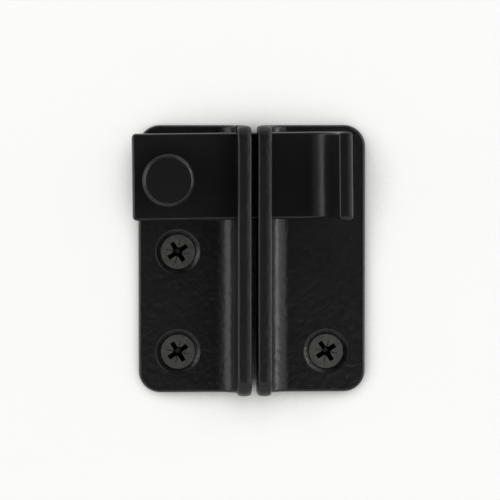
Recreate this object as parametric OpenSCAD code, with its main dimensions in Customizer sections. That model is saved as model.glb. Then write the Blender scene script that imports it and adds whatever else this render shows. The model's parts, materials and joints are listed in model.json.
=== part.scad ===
// Flip latch for a pair of cupboard doors. Two brackets bent from steel sheet are screwed on
// either side of the gap between the doors, with their flanges standing out side by side. A flat
// bar turns on a knob at its left end and drops into a notch, open at the top, in each flange.
// Its right end is curled towards the viewer as a finger pull.
//
// Millimetres. X runs to the right across the doors and Z up, and the viewer stands at -Y.
// The door face is the plane y = 0. The origin lies on it, midway between the left bracket's screws.

/* [Brackets] */
// Thickness of the bracket sheet
sheet_t = 3.2; // [2.6:0.1:4]
// Height of both brackets
bracket_h = 62; // [58:1:90]
// Width of a bracket, from its outer edge to the side of its flange that faces the gap
bracket_w = 25.6; // [25:0.1:36]
// How far the flanges stand out from the door face
flange_d = 16; // [14:0.5:24]
// Inside radius of the bracket's bend
bend_r = 4.7; // [1.5:0.1:5]
// Corner radius at the outer edge of a bracket's plate
plate_corner_r = 5; // [2:0.1:8]
// Corner radius at the front of a flange
flange_corner_r = 4; // [1.5:0.1:5]
// Gap between the two flanges
flange_gap = 1.4; // [0.6:0.1:4]
// Radius on the long edges of all sheet pieces
edge_r = 0.6; // [0.2:0.1:0.7]
// Angle by which the rims of the sheet fall away towards those edges
rim_fall = 15; // [5:1:25]

/* [Screws] */
// Distance of the screws from the gap side of their bracket
screw_in = 16.5; // [15:0.1:18]
// Distance of the end screws from the bracket's bottom or top edge
screw_end = 9.5; // [7:0.1:12]
// Distance between the left bracket's two screws
screw_pitch = 23.2; // [14:0.1:24]
// Diameter of a screw's thread
screw_d = 4; // [3:0.1:4.4]
// Diameter of a screw's plain neck
neck_d = 3.2; // [2.4:0.1:3.4]
// Diameter of a screw's head
head_d = 8; // [6.5:0.1:9]
// Height of the straight rim of a screw's head
head_rim = 0.25; // [0.1:0.05:0.4]
// Length of a screw, from its head's face to its point
screw_l = 16; // [12:1:40]
// Length of a screw's tapered point
point_l = 3; // [2:0.1:4]
// Diameter of the screw holes in the brackets
hole_d = 4.6; // [4.5:0.1:5.2]
// Diameter of the countersinks at the face of the brackets
sink_d = 10.2; // [9.2:0.1:10.8]
// Width across the cross recess in a screw's head
recess_w = 4.4; // [3:0.1:5]
// Width of one arm of the cross recess
recess_arm = 0.85; // [0.5:0.05:1.2]
// Depth of the cross recess
recess_depth = 1.5; // [0.8:0.1:1.8]
// Angle at which the cross recesses stand
recess_turn = 33; // [0:1:90]

/* [Bar] */
// Thickness of the bar
bar_t = 3.2; // [2.6:0.1:4]
// Height of the bar
bar_h = 20; // [15:0.1:22]
// How far the top of the bar lies below the top of the brackets
bar_drop = 1.8; // [1:0.1:6]
// Angle by which the bar stands above level, with the play it has in the notches
bar_lift = 0.6; // [0:0.1:1]
// Distance from the pivot to the left end of the bar
bar_tail = 8.2; // [7:0.1:12]
// Room for a finger between the right flange and the curl
finger_room = 15; // [13:0.1:22]
// Inside radius of the curl
curl_r = 7.5; // [3:0.1:8]
// Straight length at the tip of the curl
curl_tip = 1.1; // [1.1:0.1:4]
// Corner radius at both ends of the bar
bar_corner_r = 1; // [0.9:0.1:1]

/* [Notches] */
// Clearance between the bar and each side of a notch
notch_side_gap = 0.3; // [0.2:0.05:0.4]
// Clearance between the bar and the floor of a notch
notch_floor_gap = 0.2; // [0.1:0.05:0.5]
// Radius in the bottom corners of a notch
notch_r = 0.8; // [0.4:0.1:1.5]

/* [Pivot] */
// Distance of the pivot from the gap side of the left bracket
pivot_in = 18.9; // [18:0.1:20]
// How far the pivot lies below the middle of the bar
pivot_drop = 0.6; // [0:0.1:1]
// Diameter of the knob
knob_d = 11.9; // [9:0.1:14]
// Height of the knob above its washer
knob_h = 5.9; // [4:0.1:9]
// Chamfer at the knob's front edge
knob_bevel = 0.75; // [0.2:0.05:1.5]
// Diameter of the knob's shoulder, on which the bar turns
shoulder_d = 6; // [5.4:0.1:7]
// Running clearance around the shoulder, on the radius
shoulder_gap = 0.1; // [0.05:0.05:0.2]
// Thickness of the washer between knob and bar
washer_t = 0.4; // [0.3:0.1:1]
// How far the washer's rim lies inside the knob's
washer_in = 0.35; // [0.2:0.05:1]
// Diameter of the spacer between the plate and the bar
spacer_d = 10; // [9:0.1:12]
// Length of the spacer
spacer_l = 2.8; // [2.8:0.1:4]
// Diameter of the disc spring
spring_d = 10.4; // [9:0.1:12]
// Thickness of the disc spring's sheet
spring_t = 0.35; // [0.2:0.05:0.4]
// Height of the disc spring between the spacer and the bar
spring_h = 0.7; // [0.5:0.1:1]
// Diameter of the screw that holds the knob from behind
pivot_screw_d = 4; // [3:0.1:4.2]
// Diameter of that screw's countersunk head
pivot_head_d = 7.5; // [6:0.1:8]
// How far that screw reaches into the knob
pivot_reach = 7; // [4:0.1:9]
// Width across the flats of its hexagon socket
socket_w = 2.5; // [2:0.1:3]
// Clearance around its thread, on the radius
thread_gap = 0.1; // [0.05:0.05:0.2]

/* [Hidden] */
$fn = 96;

// Flat facets on a rounded edge
edge_steps = 5;
// Flat facets across a rim, between its rounded edges
rim_steps = 5;
// Clearance between a countersunk head and its seat, along the screw
seat_gap = 0.05;
// Overshoot of a cut beyond the face it opens
over = 1;
// Depth left between the end of a screw and the bottom of its hole
end_room = 0.6;
// Clearance of the disc spring at each of its rims
spring_gap = 0.03;
// Chamfer at the back edge of the knob
knob_chamfer = 0.25;

flange_out = flange_gap / 2;
bracket_out = flange_out + bracket_w;
screw_x = flange_out + screw_in;
pivot_x = -flange_out - pivot_in;
left_upper_z = screw_end + screw_pitch;
right_upper_z = bracket_h - screw_end;
bar_z = bracket_h - bar_drop - bar_h;
pivot_z = bar_z + bar_h / 2 - pivot_drop;
bar_back = sheet_t + spacer_l + spring_h;
bar_front = bar_back + bar_t;
curl_x = flange_out + sheet_t + finger_room - curl_r;
knob_back = bar_front + washer_t;

// A length to the nearest micron, so that the points of pieces that meet are the same
function snap(v) = round(v * 1000) / 1000;

// A quarter or other arc as points, for the corners of a section
function arc(x, y, r, from, to) = [
    for (i = [0:edge_steps])
        let (a = from + (to - from) * i / edge_steps) [snap(x + r * cos(a)), snap(y + r * sin(a))]
];

// Half the width of a rim between its rounded edges, for sheet of thickness t
function rim_half(t) = t / 2 - edge_r * (1 - sin(rim_fall));

// Radius of that part of a rim, which meets the rounded edges without a crease
function rim_r(t) = rim_half(t) / sin(rim_fall);

// How far the middles of the rounded edges lie behind the rim's outermost line
function edge_depth(t) = rim_r(t) * (1 - cos(rim_fall)) + edge_r * cos(rim_fall);

// Points of a rim whose outermost line is y = 0, on sheet that lies from x = 0 to x = -t
function rim(t) = concat(
    arc(-edge_r, -edge_depth(t), edge_r, 0, 90 - rim_fall),
    [
        for (i = [1:rim_steps - 1])
            let (a = 90 - rim_fall + 2 * rim_fall * i / rim_steps)
                [snap(rim_r(t) * cos(a) - t / 2), snap(rim_r(t) * (sin(a) - 1))]
    ],
    arc(edge_r - t, -edge_depth(t), edge_r, 90 + rim_fall, 180)
);

// Puts a piece, drawn from the middle of the gap and the bottom of the brackets, in its place
module in_place() {
    translate([screw_x, 0, -screw_end - screw_pitch / 2])
        children();
}

// Turns a piece drawn upright so that its top faces the viewer
module facing_out(x, z) {
    in_place()
        translate([x, 0, z])
            rotate([90, 0, 0])
                children();
}

// Section of a sheet with both rims rounded: thickness along x, height along y
module sheet_section(t, h) {
    polygon(concat(
        [for (p = rim(t)) [p[0], snap(h + p[1])]],
        [for (p = rim(t)) [snap(-t - p[0]), -p[1]]]
    ));
}

// Section of a sheet from a plain cut at x = 0 to its rounded rim at x = length
module rim_section(length, t) {
    polygon(concat(
        [[0, 0]],
        [for (p = rim(t)) [snap(length + p[1]), -p[0]]],
        [[0, t]]
    ));
}

// A straight run of sheet along +X, with its back at y = 0
module straight(length, t, h) {
    rotate([90, 0, 90])
        linear_extrude(length)
            sheet_section(t, h);
}

// The end of a sheet, with its two corners rounded to the radius r
module sheet_end(r, t, h) {
    translate([0, -t, r])
        linear_extrude(h - 2 * r)
            rim_section(r, t);
    translate([0, 0, h - r])
        rotate([90, 0, 0])
            rotate_extrude(angle = 90)
                rim_section(r, t);
    translate([0, 0, r])
        rotate([90, 0, 0])
            rotate([0, 0, -90])
                rotate_extrude(angle = 90)
                    rim_section(r, t);
}

// A strip of sheet bent once by a right angle towards the viewer. Leg a runs along +X up to the
// bend and leg b from the bend along -Y, and each ends in corners of its own radius.
module bent_strip(leg_a, leg_b, r, t, h, corner_a, corner_b) {
    translate([corner_a, 0, 0]) {
        mirror([1, 0, 0])
            sheet_end(corner_a, t, h);
        straight(leg_a - corner_a, t, h);
    }
    translate([leg_a, -t - r, 0])
        rotate_extrude(angle = 90)
            translate([r + t, 0])
                sheet_section(t, h);
    translate([leg_a + r + t, -t - r, 0])
        rotate([0, 0, -90]) {
            straight(leg_b - corner_b, t, h);
            translate([leg_b - corner_b, 0, 0])
                sheet_end(corner_b, t, h);
        }
}

// The slot that a notch cuts down through a flange to take the bar
module notch() {
    front = -bar_front - notch_side_gap;
    back = -bar_back + notch_side_gap;
    floor_z = bar_z - notch_floor_gap;
    translate([-flange_out - sheet_t - over, 0, 0])
        rotate([90, 0, 90])
            linear_extrude(sheet_t + 2 * over)
                polygon(concat(
                    arc(front + notch_r, floor_z + notch_r, notch_r, 180, 270),
                    arc(back - notch_r, floor_z + notch_r, notch_r, 270, 360),
                    [[back, bracket_h + over], [front, bracket_h + over]]
                ));
}

// A countersunk hole, drawn from the back of the sheet
module screw_hole() {
    sink_h = (sink_d - hole_d) / 2;
    translate([0, 0, -over])
        cylinder(d = hole_d, h = sheet_t + 2 * over);
    translate([0, 0, sheet_t - sink_h])
        cylinder(d1 = hole_d, d2 = sink_d + 2 * over, h = sink_h + over);
}

// Clearance hole for the pivot screw, countersunk from the back of the sheet
module pivot_hole() {
    d = pivot_screw_d + 2 * thread_gap;
    sink_h = (pivot_head_d - d) / 2 + seat_gap;
    translate([0, 0, -over])
        cylinder(d = d, h = sheet_t + 2 * over);
    translate([0, 0, -over])
        cylinder(d1 = d + 2 * (sink_h + over), d2 = d, h = sink_h + over);
}

// The left bracket without its holes. The right one is its mirror image.
module bracket_blank() {
    difference() {
        translate([-bracket_out, 0, 0])
            bent_strip(
                bracket_w - sheet_t - bend_r, flange_d - sheet_t - bend_r, bend_r,
                sheet_t, bracket_h, plate_corner_r, flange_corner_r
            );
        notch();
    }
}

module left_bracket() {
    color("#1c1c1e")
        in_place()
            difference() {
                bracket_blank();
                for (z = [screw_end, left_upper_z])
                    translate([-screw_x, 0, z])
                        rotate([90, 0, 0])
                            screw_hole();
                translate([pivot_x, 0, pivot_z])
                    rotate([90, 0, 0])
                        pivot_hole();
            }
}

module right_bracket() {
    color("#1c1c1e")
        in_place()
            difference() {
                mirror([1, 0, 0])
                    bracket_blank();
                for (z = [screw_end, right_upper_z])
                    translate([screw_x, 0, z])
                        rotate([90, 0, 0])
                            screw_hole();
            }
}

module latch_bar() {
    color("#202022")
        in_place()
            difference() {
                translate([pivot_x, -bar_back, pivot_z])
                    rotate([0, -bar_lift, 0])
                        translate([-bar_tail, 0, bar_z - pivot_z])
                            bent_strip(
                                bar_tail - pivot_x + curl_x, curl_tip, curl_r,
                                bar_t, bar_h, bar_corner_r, bar_corner_r
                            );
                translate([pivot_x, -bar_back + over, pivot_z])
                    rotate([90, 0, 0])
                        cylinder(d = shoulder_d + 2 * shoulder_gap, h = bar_t + 2 * over);
            }
}

// The knob with its shoulder is turned from one bar and tapped from behind for the pivot screw
module pivot_knob() {
    r = knob_d / 2;
    top = knob_back + knob_h;
    hole_r = pivot_screw_d / 2 + thread_gap;
    hole_top = sheet_t + pivot_reach + end_room;
    color("#202022")
        facing_out(pivot_x, pivot_z)
            rotate_extrude()
                polygon(concat(
                    [
                        [hole_r, hole_top], [hole_r, sheet_t], [shoulder_d / 2, sheet_t],
                        [shoulder_d / 2, knob_back], [r - knob_chamfer, knob_back],
                        [r, knob_back + knob_chamfer]
                    ],
                    [[r, top - knob_bevel], [r - knob_bevel, top], [0, top], [0, hole_top]]
                ));
}

module front_washer() {
    color("#141414")
        facing_out(pivot_x, pivot_z)
            translate([0, 0, bar_front])
                difference() {
                    cylinder(d = knob_d - 2 * washer_in, h = washer_t);
                    translate([0, 0, -over])
                        cylinder(d = shoulder_d + 2 * shoulder_gap, h = washer_t + 2 * over);
                }
}

// Coned washer that presses the bar against the knob, so that the bar stays where it is turned
module disc_spring() {
    low = sheet_t + spacer_l + spring_gap;
    high = bar_back - spring_gap;
    inner = shoulder_d / 2 + shoulder_gap;
    outer = spring_d / 2;
    color("silver")
        facing_out(pivot_x, pivot_z)
            rotate_extrude()
                polygon([
                    [inner, high - spring_t], [outer, low], [outer, low + spring_t], [inner, high]
                ]);
}

module pivot_spacer() {
    color("#141414")
        facing_out(pivot_x, pivot_z)
            translate([0, 0, sheet_t])
                difference() {
                    cylinder(d = spacer_d, h = spacer_l);
                    translate([0, 0, -over])
                        cylinder(d = shoulder_d + 2 * shoulder_gap, h = spacer_l + 2 * over);
                }
}

module pivot_screw() {
    r = pivot_screw_d / 2;
    head_r = pivot_head_d / 2;
    color("silver")
        facing_out(pivot_x, pivot_z)
            difference() {
                rotate_extrude()
                    polygon([
                        [0, 0], [head_r, 0], [r, head_r - r],
                        [r, sheet_t + pivot_reach], [0, sheet_t + pivot_reach]
                    ]);
                translate([0, 0, -over])
                    cylinder(d = socket_w / cos(30), h = over + head_r - r, $fn = 6);
            }
}

// Countersunk wood screw in a bracket, drawn with the door face at z = 0
module wood_screw(x, z) {
    head_r = head_d / 2;
    neck_r = neck_d / 2;
    cone_top = sheet_t - (sink_d - head_d) / 2 + seat_gap;
    top = cone_top + head_rim;
    cone_bottom = cone_top - head_r + neck_r;
    thread_top = min(cone_bottom, 0) - end_room / 2;
    point = top - screw_l;
    color("#4a4a4c")
        facing_out(x, z)
            difference() {
                rotate_extrude()
                    polygon([
                        [0, point], [screw_d / 2, point + point_l], [screw_d / 2, thread_top],
                        [neck_r, thread_top], [neck_r, cone_bottom], [head_r, cone_top],
                        [head_r, top], [0, top]
                    ]);
                for (turn = [recess_turn, recess_turn + 90])
                    rotate([0, 0, turn])
                        translate([-recess_w / 2, -recess_arm / 2, top - recess_depth])
                            cube([recess_w, recess_arm, recess_depth + over]);
            }
}

module screw_left_upper() {
    wood_screw(-screw_x, left_upper_z);
}

module screw_left_lower() {
    wood_screw(-screw_x, screw_end);
}

module screw_right_upper() {
    wood_screw(screw_x, right_upper_z);
}

module screw_right_lower() {
    wood_screw(screw_x, screw_end);
}

left_bracket();
right_bracket();
latch_bar();
pivot_knob();
front_washer();
disc_spring();
pivot_spacer();
pivot_screw();
screw_left_upper();
screw_left_lower();
screw_right_upper();
screw_right_lower();
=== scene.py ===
import json
import math
import bpy
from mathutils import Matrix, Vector

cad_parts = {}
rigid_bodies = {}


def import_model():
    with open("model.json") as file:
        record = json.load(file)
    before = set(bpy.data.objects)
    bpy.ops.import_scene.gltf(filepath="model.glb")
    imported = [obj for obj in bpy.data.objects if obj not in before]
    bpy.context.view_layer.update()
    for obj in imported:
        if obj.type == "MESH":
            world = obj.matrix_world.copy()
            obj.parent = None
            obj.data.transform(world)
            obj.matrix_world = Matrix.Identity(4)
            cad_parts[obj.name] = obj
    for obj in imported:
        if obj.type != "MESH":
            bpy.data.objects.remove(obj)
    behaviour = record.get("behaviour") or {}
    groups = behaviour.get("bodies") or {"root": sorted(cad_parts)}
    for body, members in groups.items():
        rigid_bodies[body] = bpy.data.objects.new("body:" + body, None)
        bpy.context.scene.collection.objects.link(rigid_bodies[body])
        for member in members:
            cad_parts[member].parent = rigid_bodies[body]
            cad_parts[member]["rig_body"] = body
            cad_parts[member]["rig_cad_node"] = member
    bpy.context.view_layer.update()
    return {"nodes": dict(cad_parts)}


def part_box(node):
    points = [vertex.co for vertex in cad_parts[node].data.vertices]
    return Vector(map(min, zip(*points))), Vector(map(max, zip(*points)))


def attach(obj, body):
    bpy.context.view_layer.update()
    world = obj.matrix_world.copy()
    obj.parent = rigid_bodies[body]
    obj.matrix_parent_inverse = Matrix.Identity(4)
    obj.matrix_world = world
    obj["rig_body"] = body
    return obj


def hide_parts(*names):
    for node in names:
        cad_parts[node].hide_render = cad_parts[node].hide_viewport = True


# Flip latch: bent, powder-coated brackets, the bar that flips across them, its knob and the screws.
# Metres throughout. The door face is the plane y = 0 and the viewer stands at -Y.

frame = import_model()
mm = 0.001
print("frame loaded:", ", ".join(sorted(frame["nodes"])))


# Helpers for selecting and shaping

def deselectAll():
    if bpy.context.mode != "OBJECT":
        bpy.ops.object.mode_set(mode="OBJECT")
    bpy.ops.object.select_all(action="DESELECT")


def pick(piece):
    deselectAll()
    piece.select_set(True)
    bpy.context.view_layer.objects.active = piece


def pickFaces(piece, test):
    pick(piece)
    for vertex in piece.data.vertices:
        vertex.select = False
    for edge in piece.data.edges:
        edge.select = False
    for face in piece.data.polygons:
        face.select = test(face)
    bpy.ops.object.mode_set(mode="EDIT")
    bpy.ops.mesh.select_mode(type="FACE")


def applyModifiers(piece):
    pick(piece)
    for modifier in list(piece.modifiers):
        bpy.ops.object.modifier_apply(modifier=modifier.name)


def settle(piece):
    pick(piece)
    bpy.ops.object.transform_apply(location=True, rotation=True, scale=True)


def place(piece, location, turn=(0, 0, 0)):
    piece.rotation_euler = turn
    piece.location = location
    settle(piece)


def join(pieces):
    pick(pieces[0])
    for piece in pieces[1:]:
        piece.select_set(True)
    bpy.ops.object.join()
    return pieces[0]


def carve(piece, cutter):
    cut = piece.modifiers.new("cut", "BOOLEAN")
    cut.operation = "DIFFERENCE"
    cut.solver = "EXACT"
    cut.object = cutter
    applyModifiers(piece)
    bpy.data.objects.remove(cutter)


# Materials

def linear(hexColour):
    values = [int(hexColour[i:i + 2], 16) / 255 for i in (1, 3, 5)]
    return tuple(v / 12.92 if v <= 0.04045 else ((v + 0.055) / 1.055) ** 2.4 for v in values) + (1,)


def addNode(tree, kind, settings=None, links=None):
    node = tree.nodes.new(kind)
    for name, value in (settings or {}).items():
        if isinstance(name, str) and hasattr(node, name):
            setattr(node, name, value)
        else:
            node.inputs[name].default_value = value
    for name, source in (links or {}).items():
        tree.links.new(source, node.inputs[name])
    return node


def newMaterial(name):
    material = bpy.data.materials.new(name)
    material.use_nodes = True
    tree = material.node_tree
    tree.nodes.clear()
    return material, tree


def finishMaterial(tree, shader, normal=None):
    if normal is not None:
        tree.links.new(normal, shader.inputs["Normal"])
    output = addNode(tree, "ShaderNodeOutputMaterial")
    tree.links.new(shader.outputs[0], output.inputs["Surface"])


def powderCoat(name, look):
    # Polyester powder baked on steel: a black body under a satin skin, with an orange peel left by its flow
    material, tree = newMaterial(name)
    coords = addNode(tree, "ShaderNodeTexCoord").outputs["Object"]
    peel = addNode(tree, "ShaderNodeTexNoise",
                   {"Scale": 1 / look["peelWidth"], "Detail": 1.5, "Roughness": 0.45}, {"Vector": coords})
    grain = addNode(tree, "ShaderNodeTexNoise",
                    {"Scale": 1 / look["grainWidth"], "Detail": 1.0}, {"Vector": coords})
    drift = addNode(tree, "ShaderNodeTexNoise",
                    {"Scale": 1 / look["driftWidth"], "Detail": 2.0}, {"Vector": coords})
    tint = addNode(tree, "ShaderNodeMix", {"data_type": "RGBA"}, {"Factor": drift.outputs["Fac"]})
    tint.inputs[6].default_value = linear(look["dark"])
    tint.inputs[7].default_value = linear(look["light"])
    gloss = addNode(tree, "ShaderNodeMapRange",
                    {"To Min": look["skinRoughLow"], "To Max": look["skinRoughHigh"]}, {"Value": drift.outputs["Fac"]})
    peelBump = addNode(tree, "ShaderNodeBump",
                       {"Strength": 1.0, "Distance": look["peelHeight"]}, {"Height": peel.outputs["Fac"]})
    grainBump = addNode(tree, "ShaderNodeBump", {"Strength": 1.0, "Distance": look["grainHeight"]},
                        {"Height": grain.outputs["Fac"], "Normal": peelBump.outputs["Normal"]})
    shader = addNode(tree, "ShaderNodeBsdfPrincipled",
                     {"IOR": look["ior"], "Roughness": look["bodyRough"], "Specular IOR Level": look["bodyShine"],
                      "Coat Weight": look["skinWeight"]},
                     {"Base Color": tint.outputs[2], "Coat Roughness": gloss.outputs["Result"]})
    tree.links.new(grainBump.outputs["Normal"], shader.inputs["Coat Normal"])
    finishMaterial(tree, shader, grainBump.outputs["Normal"])
    return material


def platedSteel(name, look):
    # Steel with a thin plating: metallic, slightly clouded, with fine marks of tools, and painted shade deep in its
    # recesses, where the colour goes dark by occlusion
    material, tree = newMaterial(name)
    coords = addNode(tree, "ShaderNodeTexCoord").outputs["Object"]
    cloud = addNode(tree, "ShaderNodeTexNoise",
                    {"Scale": 1 / look["cloudWidth"], "Detail": 3.0}, {"Vector": coords})
    marks = addNode(tree, "ShaderNodeTexNoise",
                    {"Scale": 1 / look["markWidth"], "Detail": 2.0}, {"Vector": coords})
    tint = addNode(tree, "ShaderNodeMix", {"data_type": "RGBA"}, {"Factor": cloud.outputs["Fac"]})
    tint.inputs[6].default_value = linear(look["dark"])
    tint.inputs[7].default_value = linear(look["light"])
    # Painted shade: the base colour darkens to the shade colour where the surface is occluded close by, as deep in the
    # cross recess
    recessOcclusion = addNode(tree, "ShaderNodeAmbientOcclusion", {"Distance": look["recessShadeReach"]})
    unshadedShare = addNode(tree, "ShaderNodeMapRange",
                    {"From Min": look["recessShadeFull"], "From Max": look["recessShadeNone"]}, {"Value": recessOcclusion.outputs["AO"]})
    recessShaded = addNode(tree, "ShaderNodeMix", {"data_type": "RGBA"}, {"Factor": unshadedShare.outputs["Result"]})
    recessShaded.inputs[6].default_value = linear(look["recessShade"])
    tree.links.new(tint.outputs[2], recessShaded.inputs[7])
    gloss = addNode(tree, "ShaderNodeMapRange",
                    {"To Min": look["roughLow"], "To Max": look["roughHigh"]}, {"Value": marks.outputs["Fac"]})
    bump = addNode(tree, "ShaderNodeBump",
                   {"Strength": 1.0, "Distance": look["markHeight"]}, {"Height": marks.outputs["Fac"]})
    shader = addNode(tree, "ShaderNodeBsdfPrincipled", {"Metallic": 1.0},
                     {"Base Color": recessShaded.outputs[2], "Roughness": gloss.outputs["Result"]})
    finishMaterial(tree, shader, bump.outputs["Normal"])
    return material


def mouldedNylon(name, look):
    # Black nylon as it leaves the mould: dull, with a faint spark-eroded grain
    material, tree = newMaterial(name)
    coords = addNode(tree, "ShaderNodeTexCoord").outputs["Object"]
    grain = addNode(tree, "ShaderNodeTexNoise",
                    {"Scale": 1 / look["grainWidth"], "Detail": 2.0}, {"Vector": coords})
    tint = addNode(tree, "ShaderNodeMix", {"data_type": "RGBA"}, {"Factor": grain.outputs["Fac"]})
    tint.inputs[6].default_value = linear(look["dark"])
    tint.inputs[7].default_value = linear(look["light"])
    bump = addNode(tree, "ShaderNodeBump",
                   {"Strength": 1.0, "Distance": look["grainHeight"]}, {"Height": grain.outputs["Fac"]})
    shader = addNode(tree, "ShaderNodeBsdfPrincipled", {"Roughness": look["rough"]},
                     {"Base Color": tint.outputs[2]})
    finishMaterial(tree, shader, bump.outputs["Normal"])
    return material


bracketCoat = powderCoat("satin_black_powder_coat_on_brackets", {
    "dark": "#1b1b1b", "light": "#202020", "ior": 1.5,
    "peelWidth": 1.3 * mm, "peelHeight": 0.12 * mm,
    "grainWidth": 0.35 * mm, "grainHeight": 0.012 * mm,  # real grain is nearer 0.1 mm, too fine to show
    "driftWidth": 9 * mm, "skinRoughLow": 0.20, "skinRoughHigh": 0.26, "skinWeight": 0.5,
    "bodyRough": 0.46, "bodyShine": 0.02,
})
barCoat = powderCoat("satin_black_powder_coat_on_bar", {
    "dark": "#191919", "light": "#1d1d1d", "ior": 1.5,
    "peelWidth": 1.6 * mm, "peelHeight": 0.03 * mm,
    "grainWidth": 0.35 * mm, "grainHeight": 0.003 * mm,
    "driftWidth": 11 * mm, "skinRoughLow": 0.17, "skinRoughHigh": 0.22, "skinWeight": 0.5,
    "bodyRough": 0.46, "bodyShine": 0.02,
})
darkPlate = platedSteel("dark_grey_plated_screw_steel", {
    "dark": "#484847", "light": "#6c6c6a", "cloudWidth": 0.9 * mm,
    "markWidth": 0.22 * mm, "markHeight": 0.035 * mm, "roughLow": 0.38, "roughHigh": 0.6,
    # Painted shade in the recesses: its colour, its reach, and the occlusion at which it is full and at which it is
    # gone
    "recessShade": "#070707", "recessShadeReach": 1.2 * mm, "recessShadeFull": 0.58, "recessShadeNone": 0.86,
})
zincPlate = platedSteel("bright_zinc_plated_steel", {
    "dark": "#a9acb0", "light": "#c3c5c8", "cloudWidth": 2.0 * mm,
    "markWidth": 0.3 * mm, "markHeight": 0.006 * mm, "roughLow": 0.28, "roughHigh": 0.4,
    "recessShade": "#3c3d3f", "recessShadeReach": 0.8 * mm, "recessShadeFull": 0.58, "recessShadeNone": 0.86,
})
springSteel = platedSteel("blued_spring_steel", {
    "dark": "#5b5f66", "light": "#7c8087", "cloudWidth": 1.5 * mm,
    "markWidth": 0.3 * mm, "markHeight": 0.004 * mm, "roughLow": 0.25, "roughHigh": 0.35,
    "recessShade": "#222326", "recessShadeReach": 0.8 * mm, "recessShadeFull": 0.58, "recessShadeNone": 0.86,
})
blackNylon = mouldedNylon("moulded_black_nylon", {
    "dark": "#131313", "light": "#1b1b1b", "rough": 0.55, "grainWidth": 0.3 * mm, "grainHeight": 0.004 * mm,
})
print("materials made")


# Coated sheet pieces: the CAD form with its sheared edges softened, as a coat of powder leaves them

def coatedPiece(node, name, look):
    source = frame["nodes"][node]
    piece = source.copy()
    piece.data = source.data.copy()
    piece.name = name
    piece.parent = None
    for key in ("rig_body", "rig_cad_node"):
        del piece[key]
    bpy.context.scene.collection.objects.link(piece)
    pick(piece)
    if piece.data.has_custom_normals:
        bpy.ops.mesh.customdata_custom_splitnormals_clear()
    bpy.ops.object.mode_set(mode="EDIT")
    bpy.ops.mesh.select_all(action="SELECT")
    bpy.ops.mesh.remove_doubles(threshold=look["weld"])
    bpy.ops.mesh.dissolve_limited(angle_limit=math.radians(look["flatAngle"]))
    bpy.ops.object.mode_set(mode="OBJECT")
    edge = piece.modifiers.new("edge", "BEVEL")
    edge.width = look["edge"]
    edge.segments = look["segments"]
    edge.limit_method = "ANGLE"
    edge.angle_limit = math.radians(look["sharpAngle"])
    edge.use_clamp_overlap = False
    applyModifiers(piece)
    pick(piece)
    bpy.ops.object.shade_smooth_by_angle(angle=math.radians(look["smoothAngle"]))
    weigh = piece.modifiers.new("weigh", "WEIGHTED_NORMAL")
    weigh.keep_sharp = True
    applyModifiers(piece)
    piece.data.materials.clear()
    piece.data.materials.append(look["finish"])
    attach(piece, look["body"])
    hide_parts(node)
    print("coated piece made:", name, len(piece.data.polygons), "faces")
    return piece


sheetLook = {
    "weld": 0.001 * mm, "flatAngle": 0.5, "edge": 0.25 * mm, "segments": 3, "sharpAngle": 35,
    "smoothAngle": 50, "finish": bracketCoat, "body": "brackets", "slot": "bracket_coat",
}
barLook = dict(sheetLook, finish=barCoat, body="bar", slot="bar_coat")
knobLook = dict(sheetLook, finish=barCoat, slot="bar_coat", edge=0.12 * mm)

coatedPiece("left_bracket", "left_bracket_coated", sheetLook)
coatedPiece("right_bracket", "right_bracket_coated", sheetLook)
coatedPiece("latch_bar", "latch_bar_coated", barLook)
coatedPiece("pivot_knob", "pivot_knob_coated", knobLook)


# Countersunk wood screws with a cross recess, a short plain neck and a rolled thread

screw = {
    "headRadius": 4.0 * mm, "rim": 0.25 * mm, "neckRadius": 1.6 * mm, "coreRadius": 1.45 * mm,
    "threadRadius": 2.0 * mm, "pitch": 1.8 * mm, "length": 16 * mm, "threadTop": 3.0 * mm,
    "neckHeight": 0.3 * mm, "pointLength": 3.0 * mm, "pointShare": 0.04, "turnOfRecess": 33, "around": 64,
    "edge": 0.12 * mm, "edgeSegments": 2, "sharpAngle": 40, "threadHalfRoot": 0.42 * mm, "threadSink": 0.1 * mm,
    "threadSteps": 32,
}
recess = {
    "reach": 2.55 * mm, "arm": 1.05 * mm, "depth": 2.2 * mm, "taper": 0.55, "coreRadius": 1.15 * mm,
    "coreTop": 1.75, "coreBottom": 0.25,
    "tickFrom": 1.0 * mm, "tickTo": 2.7 * mm, "tickWidth": 0.2 * mm, "tickDepth": 0.14 * mm,
}


def recessCutter():
    # Crossed tapered blades round a cone, and a thin tick between each pair of arms. Sizes are those at the face
    parts = []
    spread = 2 / (1 + recess["taper"])
    for turn in (0, 90):
        bpy.ops.mesh.primitive_cube_add(size=1)
        blade = bpy.context.active_object
        blade.dimensions = (2 * recess["reach"] * spread, recess["arm"] * spread, 2 * recess["depth"])
        settle(blade)
        pickFaces(blade, lambda face: face.normal.z < -0.5)
        bpy.ops.transform.resize(value=(recess["taper"], recess["taper"], 1))
        place(blade, (0, 0, 0), (0, 0, math.radians(turn + screw["turnOfRecess"])))
        parts.append(blade)
    bpy.ops.mesh.primitive_cone_add(
        vertices=32, radius1=recess["coreRadius"] * recess["coreBottom"],
        radius2=recess["coreRadius"] * recess["coreTop"], depth=2 * recess["depth"])
    parts.append(bpy.context.active_object)
    for turn in (45, 135, 225, 315):
        bpy.ops.mesh.primitive_cube_add(size=1)
        tick = bpy.context.active_object
        tick.dimensions = (recess["tickTo"] - recess["tickFrom"], recess["tickWidth"], 2 * recess["tickDepth"])
        settle(tick)
        angle = math.radians(turn + screw["turnOfRecess"])
        middle = (recess["tickFrom"] + recess["tickTo"]) / 2
        place(tick, (middle * math.cos(angle), middle * math.sin(angle), 0), (0, 0, angle))
        parts.append(tick)
    return parts


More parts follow.
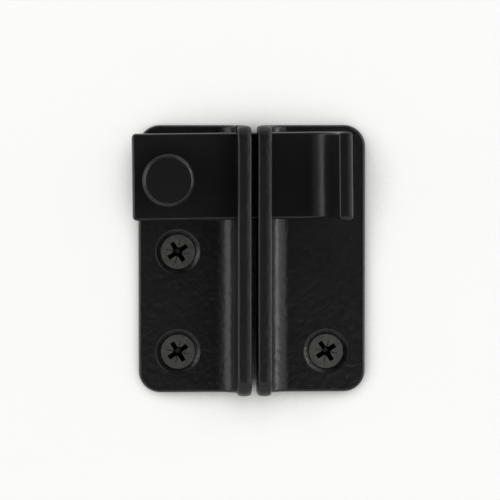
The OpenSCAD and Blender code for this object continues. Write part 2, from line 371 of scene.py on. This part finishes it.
def makeScrewForm():
    # Drawn head up with the face of the head at z = 0, then copied to each hole
    bpy.ops.mesh.primitive_cylinder_add(
        vertices=screw["around"], radius=screw["headRadius"], depth=screw["rim"],
        location=(0, 0, -screw["rim"] / 2))
    form = bpy.context.active_object
    settle(form)
    pickFaces(form, lambda face: face.normal.z < -0.5)
    coneHeight = screw["headRadius"] - screw["neckRadius"]
    steps = [
        (coneHeight, screw["neckRadius"] / screw["headRadius"]),
        (screw["neckHeight"], screw["coreRadius"] / screw["neckRadius"]),
        (screw["length"] - screw["rim"] - coneHeight - screw["neckHeight"] - screw["pointLength"], 1.0),
        (screw["pointLength"], screw["pointShare"]),
    ]
    for depth, share in steps:
        bpy.ops.mesh.extrude_region_move(TRANSFORM_OT_translate={"value": (0, 0, -depth)})
        bpy.ops.transform.resize(value=(share, share, 1))
    deselectAll()
    for cutter in recessCutter():
        carve(form, cutter)
    edge = form.modifiers.new("edge", "BEVEL")
    edge.width = screw["edge"]
    edge.segments = screw["edgeSegments"]
    edge.limit_method = "ANGLE"
    edge.angle_limit = math.radians(screw["sharpAngle"])
    edge.use_clamp_overlap = True
    applyModifiers(form)
    return form


def makeThread():
    # A three-sided ridge, wound down the core by a screw modifier
    bpy.ops.mesh.primitive_circle_add(vertices=3, radius=0.5 * mm, fill_type="NOTHING",
                                      rotation=(math.pi / 2, 0, 0))
    ridge = bpy.context.active_object
    settle(ridge)
    crest, root = screw["threadRadius"], screw["coreRadius"] - screw["threadSink"]
    halfRoot = screw["threadHalfRoot"]
    corners = [(crest, 0.0), (root, halfRoot), (root, -halfRoot)]
    for vertex, (x, z) in zip(ridge.data.vertices, corners):
        vertex.co = (x, 0, z)
    turns = int((screw["length"] - screw["threadTop"] - screw["pointLength"]) / screw["pitch"])
    wind = ridge.modifiers.new("wind", "SCREW")
    wind.axis = "Z"
    wind.angle = 2 * math.pi
    wind.screw_offset = -screw["pitch"]
    wind.iterations = turns
    wind.steps = screw["threadSteps"]
    wind.render_steps = screw["threadSteps"]
    wind.use_merge_vertices = False
    applyModifiers(ridge)
    pick(ridge)
    bpy.ops.object.mode_set(mode="EDIT")
    bpy.ops.mesh.select_mode(type="EDGE")
    bpy.ops.mesh.select_all(action="DESELECT")
    bpy.ops.mesh.select_non_manifold()
    bpy.ops.mesh.edge_face_add()
    bpy.ops.mesh.select_all(action="SELECT")
    bpy.ops.mesh.normals_make_consistent(inside=False)
    place(ridge, (0, 0, -screw["threadTop"] - screw["pitch"] / 4))
    return ridge


screwForm = join([makeScrewForm(), makeThread()])
pick(screwForm)
bpy.ops.object.shade_smooth_by_angle(angle=math.radians(screw["sharpAngle"]))
screwForm.modifiers.new("weigh", "WEIGHTED_NORMAL").keep_sharp = True
applyModifiers(screwForm)

for node in ("screw_left_upper", "screw_left_lower", "screw_right_upper", "screw_right_lower"):
    low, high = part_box(node)
    piece = screwForm.copy()
    piece.data = screwForm.data.copy()
    piece.name = node + "_threaded"
    bpy.context.scene.collection.objects.link(piece)
    place(piece, ((low.x + high.x) / 2, low.y, (low.z + high.z) / 2), (math.pi / 2, 0, 0))
    piece.data.materials.append(darkPlate)
    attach(piece, "brackets")
    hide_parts(node)
bpy.data.objects.remove(screwForm)
print("screws made")


# The pivot's inner pieces keep their CAD form

for node, finish in (
    ("front_washer", blackNylon), ("pivot_spacer", blackNylon),
    ("disc_spring", springSteel), ("pivot_screw", zincPlate),
):
    piece = frame["nodes"][node]
    piece.data.materials.clear()
    piece.data.materials.append(finish)
print("pivot pieces finished")


# Studio: a pale wall where the doors are, seen only from its front, and a pale floor well below

studio = {
    "wallSize": 3.0, "floorDrop": 0.35, "wallColour": "#f7f7f5", "shownColour": "#fdfdfc", "wallGlow": 0.90,
    "background": 0.97, "ambient": 0.002, "shadeReach": 0.02, "shadeFrom": (-0.14, -1.0, 0.16),
    "shadeFull": 0.30, "shadeNone": 0.82,
    "sides": [
        ("X", -0.35, -0.65, 0.5), ("X", -0.70, -0.90, 2.6),
        ("X", 0.22, 0.60, 1.9), ("X", 0.75, 0.95, 1.0), ("Z", 0.80, 0.95, 0.5),
    ],
}


def oneSidedPale(name, glow):
    # Matt pale board that shows the object's cast shadow where lamps light it; to camera, glossy and transmission rays
    # it mostly glows near white, with a painted shadow from occlusion where the object stands close to it.
    # From behind it isn't there, so that the back can be seen
    material, tree = newMaterial(name)
    board = addNode(tree, "ShaderNodeBsdfDiffuse", {"Color": linear(studio["wallColour"])})
    light = addNode(tree, "ShaderNodeEmission", {"Color": linear(studio["shownColour"]), "Strength": 1.0})
    path = addNode(tree, "ShaderNodeLightPath")
    shown = addNode(tree, "ShaderNodeMath", {"operation": "MAXIMUM"},
                    {0: path.outputs["Is Camera Ray"], 1: path.outputs["Is Glossy Ray"]})
    through = addNode(tree, "ShaderNodeMath", {"operation": "MAXIMUM"},
                      {0: shown.outputs[0], 1: path.outputs["Is Transmission Ray"]})
    share = addNode(tree, "ShaderNodeMath", {"operation": "MULTIPLY", 1: glow}, {0: through.outputs[0]})
    toLight = addNode(tree, "ShaderNodeCombineXYZ", dict(zip("XYZ", studio["shadeFrom"])))
    # Painted shadow: the glow fades with occlusion sampled round a normal tilted towards the upper left, so it is
    # darker close to the object and more so to its lower right
    reach = addNode(tree, "ShaderNodeAmbientOcclusion", {"samples": 8, "Distance": studio["shadeReach"]},
                    {"Normal": toLight.outputs[0]})
    paintedShadow = addNode(tree, "ShaderNodeMapRange",
                     {"From Min": studio["shadeFull"], "From Max": studio["shadeNone"]}, {"Value": reach.outputs["AO"]})
    tree.links.new(paintedShadow.outputs["Result"], light.inputs["Strength"])
    lit = addNode(tree, "ShaderNodeMixShader", {}, {0: share.outputs[0], 1: board.outputs[0], 2: light.outputs[0]})
    clear = addNode(tree, "ShaderNodeBsdfTransparent")
    side = addNode(tree, "ShaderNodeNewGeometry")
    whole = addNode(tree, "ShaderNodeMixShader", {},
                    {0: side.outputs["Backfacing"], 1: lit.outputs[0], 2: clear.outputs[0]})
    output = addNode(tree, "ShaderNodeOutputMaterial")
    tree.links.new(whole.outputs[0], output.inputs["Surface"])
    return material


deselectAll()
bpy.ops.mesh.primitive_plane_add(size=studio["wallSize"], rotation=(math.pi / 2, 0, 0))
wall = bpy.context.active_object
wall.name = "wall"
settle(wall)
wall.data.materials.append(oneSidedPale("matt_pale_wall", studio["wallGlow"]))
bpy.ops.mesh.primitive_plane_add(size=studio["wallSize"], location=(0, 0, -studio["floorDrop"]))
floor = bpy.context.active_object
floor.name = "floor"
settle(floor)
floor.data.materials.append(oneSidedPale("matt_pale_floor", studio["wallGlow"]))

world = bpy.data.worlds.new("studio")
bpy.context.scene.world = world
world.use_nodes = True
worldTree = world.node_tree
worldTree.nodes.clear()
rays = addNode(worldTree, "ShaderNodeLightPath")
seen = addNode(worldTree, "ShaderNodeMath", {"operation": "MAXIMUM"},
               {0: rays.outputs["Is Camera Ray"], 1: rays.outputs["Is Transmission Ray"]})
heading = addNode(worldTree, "ShaderNodeSeparateXYZ", {},
                  {"Vector": addNode(worldTree, "ShaderNodeTexCoord").outputs["Generated"]})


def glow(axis, start, end, strength, before):
    # One bright side of the room, that fades in between two values of the ray's heading
    side = addNode(worldTree, "ShaderNodeMapRange",
                   {"interpolation_type": "SMOOTHSTEP", "From Min": start, "From Max": end, "To Max": strength},
                   {"Value": heading.outputs[axis]})
    return addNode(worldTree, "ShaderNodeMath", {"operation": "ADD"}, {0: side.outputs["Result"], 1: before}).outputs[0]


dim = addNode(worldTree, "ShaderNodeValue")
dim.outputs[0].default_value = studio["ambient"]
room = dim.outputs[0]
for axis, start, end, strength in studio["sides"]:
    room = glow(axis, start, end, strength, room)
level = addNode(worldTree, "ShaderNodeMix", {"data_type": "FLOAT"}, {0: seen.outputs[0], 2: room})
level.inputs[3].default_value = studio["background"]
sky = addNode(worldTree, "ShaderNodeBackground", {"Color": (1, 1, 1, 1)}, {"Strength": level.outputs[0]})
worldOut = addNode(worldTree, "ShaderNodeOutputWorld")
worldTree.links.new(sky.outputs[0], worldOut.inputs["Surface"])

camera = {
    "azimuth": -2.95, "elevation": 3.16, "distance": 0.670, "lens": 207.4,
    "lookAt": Vector((16.85 * mm, 0, 11.82 * mm)),
}
lamps = [
    {"name": "key_upper_left", "at": (-0.50, -0.42, 0.46), "size": (0.24, 0.24), "power": 0.1},
    {"name": "fill_right", "at": (0.66, -0.10, 0.10), "size": (0.20, 0.50), "power": 0.85},
    {"name": "behind", "at": (0.25, 0.55, 0.35), "size": (0.40, 0.40), "power": 4.0},
]


def addLamp(lamp):
    data = bpy.data.lights.new(lamp["name"], "AREA")
    data.shape = "RECTANGLE"
    data.size, data.size_y = lamp["size"]
    data.energy = lamp["power"]
    item = bpy.data.objects.new(lamp["name"], data)
    bpy.context.scene.collection.objects.link(item)
    item.location = lamp["at"]
    item.rotation_euler = (camera["lookAt"] - Vector(lamp["at"])).to_track_quat("-Z", "Y").to_euler()


for lamp in lamps:
    addLamp(lamp)

azimuth, elevation = math.radians(camera["azimuth"]), math.radians(camera["elevation"])
back = Vector((
    math.sin(azimuth) * math.cos(elevation), -math.cos(azimuth) * math.cos(elevation), math.sin(elevation),
))
cameraData = bpy.data.cameras.new("camera")
cameraData.lens = camera["lens"]
cameraData.sensor_width = 36
cameraItem = bpy.data.objects.new("camera", cameraData)
bpy.context.scene.collection.objects.link(cameraItem)
cameraItem.location = camera["lookAt"] + back * camera["distance"]
cameraItem.rotation_euler = (-back).to_track_quat("-Z", "Y").to_euler()
bpy.context.scene.camera = cameraItem
bpy.context.scene.view_settings.view_transform = "Standard"
print("studio and camera made")
